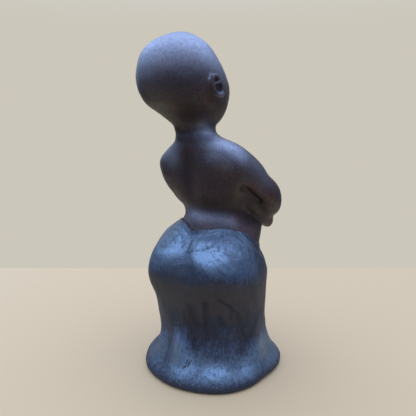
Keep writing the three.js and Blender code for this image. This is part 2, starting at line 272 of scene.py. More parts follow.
def skirtRelief(z, angle):
    # two lobes less a cleft, upright flutes as a cosine of the angle, and the hem's waves as bells
    degrees = np.degrees(angleFrom(angle, 0.0))
    reach, side, *size = skirt["lobes"]
    lobes = spot(z, angle, reach, side, *size) + spot(z, angle, reach, -side, *size)
    deep, at, narrow = skirt["cleft"]
    low, deepest, top = skirt["cleftHeights"]
    cleft = deep * bump(degrees - at, narrow) * smoothStep(low, deepest, z)
    cleft = cleft * (1.0 - skirt["cleftEases"] * smoothStep(deepest, top, z))
    reach, count, height, tallness = skirt["flutes"]
    flutes = reach * np.cos(count * angle) * bump(z - height, tallness)
    waves = sum(
        wave * bump(np.degrees(angleFrom(angle, math.radians(side))), breadth)
        for side, wave, breadth in skirt["hemWaves"])
    swells = sum(spot(z, angle, *s) for s in skirt["relief"] + skirt["folds"])
    return lobes + cleft + flutes + swells + waves * bump(z, skirt["hemTall"])


def bodyRelief(z, angle):
    # the sum of the torso's spots and the rump
    return sum(spot(z, angle, *s) for s in torso["relief"]) + spot(z, angle, *torso["rump"])


def headAxes():
    # unit directions to her right, up along the leaning head, and forward
    turn, tilt = math.radians(head["turn"]), math.radians(head["tilt"])
    right = np.array([-math.cos(turn), math.sin(turn), 0.0])
    level = np.array([-math.sin(turn), -math.cos(turn), 0.0])
    upwards = np.array([0.0, 0.0, 1.0])
    forward = level * math.cos(tilt) + upwards * math.sin(tilt)
    return right, upwards * math.cos(tilt) - level * math.sin(tilt), forward


headRight, headUp, headForward = headAxes()


def headPoint(right, up, forward):
    # the head's middle plus the three distances along its directions
    return np.array(head["middle"]) + headRight * right + headUp * up + headForward * forward


def headPlace(points):
    # distances to her right, upwards and forwards from the middle of the head
    away = points - np.array(head["middle"])
    return away @ headRight, away @ headUp, away @ headForward


face = {
    # reach, to either side, breadth, up from the head's middle, tallness
    "relief": [
        (-2.4, 12.5, 10, 0.5, 8), (1.2, 11, 13, 9.5, 4.5),  # eye hollows and brow
        (1.2, 17, 10, -13, 9), (2.0, 0, 11, -22, 7),  # cheeks and mouth
        (2.6, 0, 10, -36, 6), (-1.2, 0, 8, -29.5, 3),  # chin and the hollow above it
    ],
    "fades": (12, 28),  # distances forward between which the relief comes in
    # place and half sizes of the nose's ridge and tip and both lips
    "middleEggs": [
        ((0, -5, 37.5), (3.8, 11, 5.2)), ((0, -12, 41), (4.6, 3.8, 4.4)),
        ((0, -20.6, 39), (8.2, 2.2, 4.4)), ((0, -24.2, 38), (7.2, 2.4, 4.4)),
    ],
    # the same with a roll in degrees, for the nose's wings and the eyelids
    "sideEggs": [((4.2, -13.2, 39.4), (2.8, 2.6, 3.2), 0), ((12.5, 0.5, 31.6), (7.4, 4.0, 4.4), 5)],
}


def faceRelief(points):
    # the sum of each reach times a bell of the distance to the side and a bell of the distance up,
    # faded out behind the cheeks
    right, up, forward = headPlace(points)
    right = np.abs(right)
    relief = sum(
        reach * bump(right - side, breadth) * bump(up - height, tallness)
        for reach, side, breadth, height, tallness in face["relief"])
    return relief * smoothStep(*face["fades"], forward)


def closedGrid(points):
    # rings of points become quads, and each end is closed with a fan to its middle
    rows, columns = points.shape[:2]
    index = np.arange(rows * columns).reshape(rows, columns)
    beside = np.roll(index, -1, axis=1)
    quads = np.stack([index[:-1], beside[:-1], beside[1:], index[1:]], -1).reshape(-1, 4)
    low, high = rows * columns, rows * columns + 1
    bottom = np.stack([np.full(columns, low), beside[0], index[0]], -1)
    top = np.stack([np.full(columns, high), index[-1], beside[-1]], -1)
    ends = np.stack([points[0].mean(0), points[-1].mean(0)])
    vertices = np.concatenate([points.reshape(-1, 3), ends])
    return vertices, quads, np.concatenate([bottom, top])


def ringAngles(count):
    # equal steps round a full turn
    return np.arange(count) * 2.0 * np.pi / count


def lap(z, edge):
    # the smooth step from the lap's gap and height below the waist edge up to the gap below it
    top = edge - skirt["lapGap"]
    return smoothStep(top - skirt["lapHeight"], top, z)


def waistSwell(z, angle):
    # the sum of the spots below the waist edge
    return sum(spot(z, angle, *s) for s in skirt["waistSwells"])


def skirtSurface(z, angle, outwards):
    # the skirt's own surface plus the lap's share of the way from it to the hips' surface
    share = np.asarray(lap(z, waistEdge(angle)))[..., None]
    rump = spot(z, angle, *torso["rump"])
    own = sectionSurface(skirt["sections"], z, angle, skirtRelief(z, angle) + rump + outwards)
    hip = sectionSurface(torso["sections"], z, angle, bodyRelief(z, angle) + outwards)
    return own + (hip - own) * share


def skirtShell():
    # rings at a power of their share of the height, leaning more and more towards the waist edge; the
    # skirt stands out by its clay's edge less the lap's share of it, and the last ring turns inwards
    rings, around = skirt["rings"]
    low = np.linspace(0.0, 1.0, rings)[:, None]
    angle = ringAngles(around)[None, :]
    waist = skirt["waistHeight"]
    z = waist * low ** skirt["crowding"]
    level = z + (waistEdge(angle) - waist) * smoothStep(skirt["leansFrom"], waist, z)
    level, angle = np.broadcast_arrays(level, angle)
    outwards = skirt["clayEdge"] * (1.0 - lap(level, waistEdge(angle)))
    outer = skirtSurface(level, angle, outwards + skirt["proud"] + waistSwell(level, angle))
    rise, inwards = skirt["closing"]
    inner = sectionSurface(torso["sections"], level[-1:] + rise, angle[-1:], np.full((1, 1), inwards))
    return closedGrid(np.concatenate([outer, inner]))


def bodyShell():
    # rings of the torso, neck and head with their relief; over the crown they close up, at the top's
    # height less the cap's height times the square of what is left of the way
    low, high, rings = torso["rings"]
    cap, capRings = torso["crown"]
    left = 1 - np.linspace(0, 1, capRings)[1:]
    z = np.concatenate([np.linspace(low, high, rings), high + cap - cap * left ** 2])
    z, angle = np.meshgrid(z, ringAngles(torso["around"]), indexing="ij")
    plain = sectionSurface(torso["sections"], z, angle, 0.0 * z)
    relief = np.where(z > head["faceAbove"], faceRelief(plain), bodyRelief(z, angle))
    return closedGrid(sectionSurface(torso["sections"], z, angle, relief))


def limbShell(table, rings=80, sides=40, blunt=6.0, tip=0.02):
    # an oval carried along a smooth line, its thickness pointing away from the body's middle; near an
    # end it shrinks by the root of 1 - (1 - n) squared, n being the distance to it over the blunt length
    table = np.array(table, float)
    length = np.concatenate([[0.0], np.cumsum(np.linalg.norm(np.diff(table[:, :3], axis=0), axis=1))])
    at = length[-1] * (0.5 - 0.5 * np.cos(np.linspace(0, np.pi, rings)))
    centre = np.stack([curveThrough(length, table[:, k], at, steady=False) for k in range(3)], -1)
    thick, wide = (curveThrough(length, table[:, k], at) for k in (3, 4))
    along = np.gradient(centre, at, axis=0)
    along /= np.linalg.norm(along, axis=1)[:, None]
    out = centre * (1, 1, 0) - arms["bodyMiddle"]
    out -= along * (out * along).sum(1)[:, None]
    out /= np.linalg.norm(out, axis=1)[:, None]
    across = np.cross(along, out)
    nearEnd = np.clip(np.minimum(at, length[-1] - at) / blunt, 0.0, 1.0)
    rounding = np.sqrt(np.maximum(tip, 1.0 - (1.0 - nearEnd) ** 2))
    a = ringAngles(sides)[None, :, None]
    ring = out[:, None] * np.cos(a) * (thick * rounding)[:, None, None]
    ring = ring + across[:, None] * np.sin(a) * (wide * rounding)[:, None, None]
    return closedGrid(centre[:, None] + ring)


def eggShell(middle, sizes, directions, count=36):
    # a ball stretched by three half sizes along three directions
    tilt = np.linspace(-0.5, 0.5, count // 2 + 1)[1:-1, None] * np.pi
    a = ringAngles(count)[None, :]
    first, second, third = (np.asarray(d, float) * s for d, s in zip(directions, sizes))
    ball = (np.cos(tilt) * np.cos(a))[..., None] * first + (np.cos(tilt) * np.sin(a))[..., None] * second
    return closedGrid(np.asarray(middle) + ball + np.sin(tilt + 0 * a)[..., None] * third)


def rolled(roll=0.0):
    # directions of a face feature rolled about the forward direction, right-handed
    c, s = math.cos(math.radians(roll)), math.sin(math.radians(roll))
    return -headRight * c + headUp * s, headUp * c + headRight * s, headForward


def faceShells():
    # an egg at each place of the face's table, and at its mirrored place where it has two
    shells = [eggShell(headPoint(*place), size, rolled()) for place, size in face["middleEggs"]]
    for side in (-1, 1):
        for (aside, up, forward), size, roll in face["sideEggs"]:
            shells.append(eggShell(headPoint(aside * side, up, forward), size, rolled(roll * side)))
    return shells


ears = {
    "middle": (37.2, -0.6, -0.8),  # to the side, up and forward from the head's middle
    "turnedBack": 0.4,  # tangent of the angle at which the ear looks backwards
    "leansBack": 0.12,  # and of the one at which its top leans backwards
    "size": (4.6, 8.1),  # half breadth and half height of the rim's middle line
    "halfArc": 1.05,  # half turns that the rim takes to either side of its top
    "rimPoints": 18,  # points on its middle line
    "rim": (2.0, 1.0),  # half thickness of the roll at the back and along the cheek
    "rimOut": (2.6, 1.3),  # how far it stands out at the back, and how much less along the cheek
    "bar": ((-4.2, 0.9, 1.7), (2.8, 0.5, 0.0), 4),  # first point, step to the next, how many
    "barSize": (1.4, 1.3),  # half thickness and half width
    "bowl": (-1.8, 2.4, 0.6),  # its middle out from the head, half depth, breadth past the rim's line
    "lobe": ((-1.2, -8.6, 1.2), (2.6, 2.6, 3.2)),  # place and half sizes
}


def earShells(side):
    # a rim rolled along an oval arc, the sine and cosine of its angle times the half sizes, round a
    # shallow bowl, with a bar across it and a lobe
    across = headRight * side - headForward * ears["turnedBack"]
    across /= np.linalg.norm(across)
    up = headUp - headForward * ears["leansBack"]
    up -= across * (up @ across)
    up /= np.linalg.norm(up)
    along = np.cross(across, up)
    middle = headPoint(side * ears["middle"][0], *ears["middle"][1:])

    def place(back, high, out):
        # distances towards the back of the head, up the ear and away from the head
        return middle + along * back * side + up * high + across * out

    broad, tall = ears["size"]
    thick, thin = ears["rim"]
    out, less = ears["rimOut"]
    rim = []
    for t in np.linspace(-ears["halfArc"], ears["halfArc"], ears["rimPoints"]) * np.pi:
        front = max(0.0, -math.sin(t))
        roll = thick + (thin - thick) * front
        rim.append((*place(broad * math.sin(t), tall * math.cos(t), out - less * front), roll, roll))
    first, step, count = ears["bar"]
    bar = [(*place(*(np.array(first) + np.array(step) * k)), *ears["barSize"]) for k in range(count)]
    sunk, deep, past = ears["bowl"]
    bowl = eggShell(middle + across * sunk, (deep, tall, broad + past), (across, up, along))
    lobePlace, lobeSize = ears["lobe"]
    lobe = eggShell(place(*lobePlace), lobeSize, (across, up, along))
    rim = limbShell(rim, rings=60, sides=20, blunt=1.5)
    return [rim, limbShell(bar, rings=20, sides=16, blunt=1.0), bowl, lobe]


def fingerShells(root, tip, step, bow):
    # four short limbs side by side, each bent once where it bows outwards
    root, tip, step, bow = (np.array(v, float) for v in (root, tip, step, bow))
    shells = []
    joints = ((0.0, 0.0), (arms["fingerBend"], 1.0), (1.0, 0.0))  # how far along, and share of the bow
    for i, length in enumerate(arms["fingerLengths"]):
        line = [root + step * i + (tip - root) * length * t + bow * b for t, b in joints]
        table = [(*p, *size) for p, size in zip(line, arms["fingerSizes"])]
        shells.append(limbShell(table, rings=30, sides=20, blunt=3.0))
    return shells


def figureShells():
    # every form of the figure as a closed shell of its own
    upright = np.eye(3)
    shells = [skirtShell(), bodyShell(), limbShell(arms["right"]), limbShell(arms["left"])]
    shells += [eggShell(middle, torso["breastSize"], upright, count=48) for middle in torso["breasts"]]
    shells += fingerShells(*arms["rightFingers"]) + [limbShell(arms["leftHand"])]
    return shells + faceShells() + earShells(1) + earShells(-1)


skin = {
    "voxel": 2.03,  # millimetres
    # where the form is blown up before it is meshed, so that it comes out finer there: middle, radius, gain
    "lenses": [
        ((0, 30, 250), 60, 0.34),
        ((0, -20, 175), 45, 0.22),
        (tuple(headPoint(0, -10, 34)), 16, 0.45),
        (tuple(headPoint(37, -1, 0)), 11, 0.75),
        (tuple(headPoint(-37, -1, 0)), 11, 0.75),
        ((-40, -5, 166), 14, 0.3),
        ((35, -46, 169), 12, 0.55),
    ],
    "even": (3, 0.5, 0.9),  # smoothing everywhere: rounds, share of the way, share of it given back
    "joints": (60, 0.7),  # smoothing where the forms run into each other: rounds, share of the way
    # and where that is: middle, radius, strength
    "joinPlaces": [
        ((-32, 8, 196), 22, 1.0), ((36, 8, 190), 24, 1.0),  # shoulders
        ((-18, -34, 190), 18, 1.0), ((18, -34, 190), 18, 1.0), ((0, -30, 205), 16, 1.0),  # breasts
        ((-44, -34, 161), 12, 0.5), ((44, -38, 159), 12, 0.5),  # elbows
        ((-34, 3, 167), 11, 1.0), ((-38, -12, 159), 11, 0.8), ((-38, -48, 146), 9, 0.4),  # left hand
        ((21, -58, 168), 8, 0.9),  # right wrist
    ],
}


def swollen(points, middle, radius, gain, back=False):
    # each point moves away from the middle by gain times radius times the hyperbolic tangent of its
    # distance over the radius; back looks the distance up the other way, in steps of 0.05
    away = points - np.asarray(middle, float)
    distance = np.maximum(np.linalg.norm(away, axis=1), 1e-9)
    if back:
        table = np.linspace(0.0, 600.0, 12001)
        new = np.interp(distance, table + gain * radius * np.tanh(table / radius), table)
    else:
        new = distance + gain * radius * np.tanh(distance / radius)
    return np.asarray(middle, float) + away * (new / distance)[:, None]


def lensPlaces():
    # each lens with its middle carried by the lenses before it
    places = []
    for middle, radius, gain in skin["lenses"]:
        point = np.array([middle], float)
        for earlier in places:
            point = swollen(point, *earlier)
        places.append((point[0], radius, gain))
    return places


def meshFrom(name, vertices, faceLists):
    # one mesh from vertices and arrays of quads or triangles
    mesh = bpy.data.meshes.new(name)
    loops = np.concatenate([f.ravel() for f in faceLists])
    sizes = np.concatenate([np.full(len(f), f.shape[1]) for f in faceLists])
    mesh.vertices.add(len(vertices))
    mesh.vertices.foreach_set("co", np.ascontiguousarray(vertices, np.float32).ravel())
    mesh.loops.add(len(loops))
    mesh.loops.foreach_set("vertex_index", loops.astype(np.int32))
    mesh.polygons.add(len(sizes))
    starts = np.concatenate([[0], np.cumsum(sizes)[:-1]]).astype(np.int32)
    mesh.polygons.foreach_set("loop_start", starts)
    mesh.update(calc_edges=True)
    mesh.validate()
    return mesh


def unitedShells(shells):
    # all shells in one mesh, its outer skin taken as a voxel remesh; gives points and quads
    offset, vertices, quads, triangles = 0, [], [], []
    for v, q, t in shells:
        vertices.append(v)
        quads.append(q + offset)
        triangles.append(t + offset)
        offset += len(v)
    places = lensPlaces()
    points = np.concatenate(vertices)
    for place in places:
        points = swollen(points, *place)
    mesh = meshFrom("shells", points, [np.concatenate(quads), np.concatenate(triangles)])
    shape = bpy.data.objects.new("shells", mesh)
    bpy.context.collection.objects.link(shape)
    modifier = shape.modifiers.new("skin", "REMESH")
    modifier.mode = "VOXEL"
    modifier.voxel_size = skin["voxel"]
    done = shape.evaluated_get(bpy.context.evaluated_depsgraph_get())
    result = done.to_mesh()
    points = np.empty(len(result.vertices) * 3, np.float32)
    result.vertices.foreach_get("co", points)
    corners = np.empty(len(result.loops), np.int32)
    result.loops.foreach_get("vertex_index", corners)
    done.to_mesh_clear()
    bpy.data.objects.remove(shape)
    bpy.data.meshes.remove(mesh)
    points = points.reshape(-1, 3).astype(float)
    for place in reversed(places):
        points = swollen(points, *place, back=True)
    return points, corners.reshape(-1, 4)


def edgePairs(quads):
    # each edge once, as its two point numbers in order
    pairs = np.concatenate([quads[:, [i, (i + 1) % 4]] for i in range(4)])
    return np.unique(np.sort(pairs, axis=1), axis=0)


def neighbourMean(points, edges):
    # the sum of a point's neighbours over their number
    count = len(points)
    degree = np.bincount(edges.ravel(), minlength=count)
    first, second = edges.T
    total = np.stack([
        np.bincount(first, points[second, k], count) + np.bincount(second, points[first, k], count)
        for k in range(3)], -1)
    return total / degree[:, None]


def smoothed(points, edges, weight, rounds, swellBack=0.0):
    # each point moves a share of the way to its neighbours' mean, and a share of that way back again
    for _ in range(rounds):
        points = points + (neighbourMean(points, edges) - points) * weight[:, None]
        if swellBack:
            points = points - (neighbourMean(points, edges) - points) * (weight * swellBack)[:, None]
    return points


def pointNormals(points, quads):
    # the sum of each quad's crossed diagonals at its corners, made one long
    cross = np.cross(points[quads[:, 2]] - points[quads[:, 0]], points[quads[:, 3]] - points[quads[:, 1]])
    normals = np.stack([
        sum(np.bincount(quads[:, i], cross[:, k], len(points)) for i in range(4)) for k in range(3)], -1)
    return normals / np.maximum(np.linalg.norm(normals, axis=1), 1e-9)[:, None]


def clayNoise(points, cell, seed, cells=64):
    # random heights from -1 to 1 on a cubic lattice, whose eight corners round a point are added up
    # by the products of their smooth shares
    lattice = np.random.default_rng(seed).uniform(-1, 1, (cells, cells, cells))
    at = points / cell + 20.0  # so that the figure lies well inside the lattice
    low = np.floor(at).astype(int)
    f = at - low
    f = f * f * (3 - 2 * f)
    total = np.zeros(len(points))
    for dx in (0, 1):
        for dy in (0, 1):
            for dz in (0, 1):
                share = (f[:, 0] if dx else 1 - f[:, 0]) * (f[:, 1] if dy else 1 - f[:, 1])
                share = share * (f[:, 2] if dz else 1 - f[:, 2])
                x, y, z = ((low + (dx, dy, dz)) % cells).T
                total += share * lattice[x, y, z]
    return total


def aroundBack(points):
    # angle about the upright axis, from the middle of her back towards her right
    return np.arctan2(-points[:, 0], points[:, 1])


def drawnToEdge(points, quads):
    # heights counted from the waist edge are squeezed near it, so that a row of points lies close
    # above and close below the line: d becomes low + (high - low) d / reach, and from one to two
    # reaches it runs back to d; the points slide along the surface, up less its part along the normal,
    # over what is left of its height, taken as the least rise or more
    reach, low, high, leastRise = skirt["edgeDrawn"]
    away = points[:, 2] - waistEdge(aroundBack(points))
    far = np.abs(away)
    near = low + (high - low) * far / reach
    back = high + (2.0 * reach - high) * (far - reach) / reach
    squeezed = np.where(far < reach, near, np.where(far < 2.0 * reach, back, far))
    normals = pointNormals(points, quads)
    along = np.array((0.0, 0.0, 1.0)) - normals * normals[:, 2:]
    along /= np.maximum(along[:, 2:], leastRise)
    return points + along * (np.sign(away) * squeezed - away)[:, None]


def edgeStep(points):
    # below the waist edge the clay's edge times the lap, times the least share and a bell round the hip
    angle = aroundBack(points)
    edge = waistEdge(angle)
    least, more, hip, breadth = skirt["edgeStep"]
    away = np.degrees(angleFrom(angle, math.radians(hip)))
    step = skirt["clayEdge"] * (least + more * bump(away, breadth))
    return np.where(points[:, 2] < edge, step * lap(points[:, 2], edge), 0.0)


def nearPlaces(points, places):
    # the sum of bells of the distance from the places, each times its strength, never over 1
    total = sum(
        strength * bump(np.linalg.norm(points - np.array(middle, float), axis=1), radius)
        for middle, radius, strength in places)
    return np.clip(total, 0.0, 1.0)


marks = {
    # lines sunk in the skirt: angle and height of both ends, width in millimetres, strength
    "pressed": [
        ((7, 140.4), (6.7, 130), 1.3, 0.9), ((6.7, 130), (5.2, 121), 1.2, 0.9),  # the cleft
        ((5.2, 121), (5, 114), 1.2, 0.5),
        ((8, 121.7), (17, 124.4), 0.8, 0.6), ((17, 124.4), (36, 124.6), 0.8, 0.4),  # crease on the right
        ((7, 23.5), (5.5, 18.5), 1.2, 0.9), ((9.5, 23.6), (8, 18.9), 1.2, 0.9),  # two nicks by the hem
    ],
    # dark lines, in the same way: dark slip strokes, and painted shade along the cleft, the crease and the
    # nicks
    "strokesAndShade": [
        ((11, 74), (15, 57), 7.0, 0.9), ((26, 80), (24, 55), 4.2, 1.0), ((25, 60), (24, 44), 5.0, 0.7),
        ((38, 84), (49, 75.5), 2.2, 1.0), ((46, 77), (58, 66), 2.6, 0.9), ((38, 66), (41, 59), 4.5, 0.9),
        ((50, 70), (49, 64), 3.4, 0.8), ((57, 64), (60, 50), 5.0, 0.8), ((60, 52), (67, 38), 4.2, 0.9),
        ((85, 60), (72, 42), 5.0, 1.0), ((103, 48), (86, 38), 4.0, 0.8), ((9, 64), (11, 34), 5.0, 0.8),
        ((60, 40), (62, 27), 5.0, 0.6), ((-22, 34), (-18, 16), 3.0, 0.7), ((-12, 62), (-14, 50), 4.0, 0.5),
        ((4, 70), (5, 58), 4.0, 0.7), ((31, 58), (32, 48), 4.5, 0.5), ((68, 66), (66, 54), 4.5, 0.7),
        ((-24, 92), (-20, 78), 6.0, 0.6), ((74, 92), (78, 76), 5.0, 0.4),
        # painted shade over the sunk lines of the cleft, the crease and the nicks; the ticks are dark strokes
        ((7, 140), (6.7, 130), 1.3, 0.8), ((6.7, 130), (5.2, 121), 1.3, 0.9),  # the cleft
        ((5.2, 121), (5, 115), 1.5, 0.4),
        ((8, 121.7), (17, 124.4), 1.5, 1.0), ((17, 124.4), (38, 124.3), 1.4, 0.9),  # crease and ticks
        ((23, 125.0), (29, 127.2), 2.0, 0.5), ((-10, 128), (-16, 131), 1.6, 0.6),
        ((-12, 134), (-19, 128), 1.4, 0.6),
        ((7, 23.5), (5.5, 18.5), 1.4, 1.0), ((9.5, 23.6), (8, 18.9), 1.4, 1.0),  # the nicks
    ],
    "wobble": 0.0012,  # metres by which the lines waver, and the scale of it for each metre
    "wobbleScale": 260.0,
    "thumb": (0.25, 25, 5, 129, 3.5),  # a dent above the crease: depth, angle, breadth, height, tallness
}


def skirtPlace(degrees, z):
    # the skirt's finished surface at an angle and a height
    angle = math.radians(degrees)
    return skirtSurface(z, angle, skirt["clayEdge"] + waistSwell(z, angle))


def thumbDent(points):
    # a bell of the angle times a bell of the height, times the dent's depth
    return spot(points[:, 2], aroundBack(points), *marks["thumb"])


crease = {
    # the slit between her right upper arm and her side, where the hand comes out
    "line": [(-38.5, 14.0, 178.5), (-41.0, 3.0, 172.0), (-46.0, -8.0, 163.5)],
    "halfWidth": 2.7,
    "depth": 1.7,  # millimetres
}


def awayFrom(points, a, b):
    # distance from the straight stretch between a and b: from the place at the share t of it, where t
    # is the product with b - a over its square, held between 0 and 1
    a, b = np.array(a, float), np.array(b, float)
    t = np.clip((points - a) @ (b - a) / ((b - a) @ (b - a)), 0.0, 1.0)
    return np.linalg.norm(points - a - t[:, None] * (b - a), axis=1)


def creaseShare(points):
    # the strongest bell of the distance from the stretches of the line
    line = crease["line"]
    return np.max([bump(awayFrom(points, a, b), crease["halfWidth"]) for a, b in zip(line, line[1:])], axis=0)


lumps = {
    # cell in millimetres, reach on skin and on the skirt, seed
    "sizes": [(19.0, 0.40, 0.55, 3), (8.0, 0.16, 0.26, 4), (4.0, 0.06, 0.10, 5)],
    "fades": (1.0, 8.0),  # heights over the ground between which all this relief comes in
}


def withClayRelief(points, quads, onSkirt):
    # the waist edge stands out, the thumb dent and the arm's crease sink, lumps of three sizes swell,
    # all along the normals; it fades out just above the ground
    swell = edgeStep(points) - thumbDent(points) - crease["depth"] * creaseShare(points)
    for cell, onBody, onCloth, seed in lumps["sizes"]:
        swell += (onBody + (onCloth - onBody) * onSkirt) * clayNoise(points, cell, seed)
    swell *= smoothStep(*lumps["fades"], points[:, 2])
    return points + pointNormals(points, quads) * swell[:, None]


def writeShare(mesh, name, values):
    # one number for each point, which the clay's material reads
    layer = mesh.attributes.new(name, "FLOAT", "POINT")
    layer.data.foreach_set("value", np.ascontiguousarray(values, np.float32))


def skirtShare(points):
    # one less a smooth step of the height, as steep as the fade to either side of the waist edge
    edge, fade = waistEdge(aroundBack(points)), skirt["shareFade"]
    return 1.0 - smoothStep(edge - fade, edge + fade, points[:, 2])


def statuetteClay():
    # the shells' common skin, smoothed, with the clay's relief and no height under 0
    print("statuette: shells")
    shells = figureShells()
    print("statuette: skin")
    points, quads = unitedShells(shells)
    edges = edgePairs(quads)
    rounds, share, givenBack = skin["even"]
    points = smoothed(points, edges, np.full(len(points), share), rounds, givenBack)
    rounds, share = skin["joints"]
    points = smoothed(points, edges, nearPlaces(points, skin["joinPlaces"]) * share, rounds)
    print("statuette: relief")
    points = drawnToEdge(points, quads)
    points = withClayRelief(points, quads, skirtShare(points))
    points[:, 2] = np.maximum(points[:, 2], 0.0)
    mesh = meshFrom("statuette_clay", points * millimetre, [quads])
    clayPiece = bpy.data.objects.new("statuette_clay", mesh)
    bpy.context.collection.objects.link(clayPiece)
    mesh.shade_smooth()
    print("statuette: shares for the clay's finish")
    writeShare(mesh, "skirtShare", skirtShare(points))
    writeShare(mesh, "wornShare", nearPlaces(points, clay["worn"]))
    writeShare(mesh, "burnishHighlightShare", burnishHighlightPlaces(points))
    writeShare(mesh, "paintedShadeShare", paintedShadePlaces(points))
    writeShare(mesh, "matteShare", mattePlaces(points))
    writeShare(mesh, "upShare", upwardPlaces(points, quads))
    print("statuette:", 2 * len(quads), "triangles")
    return clayPiece


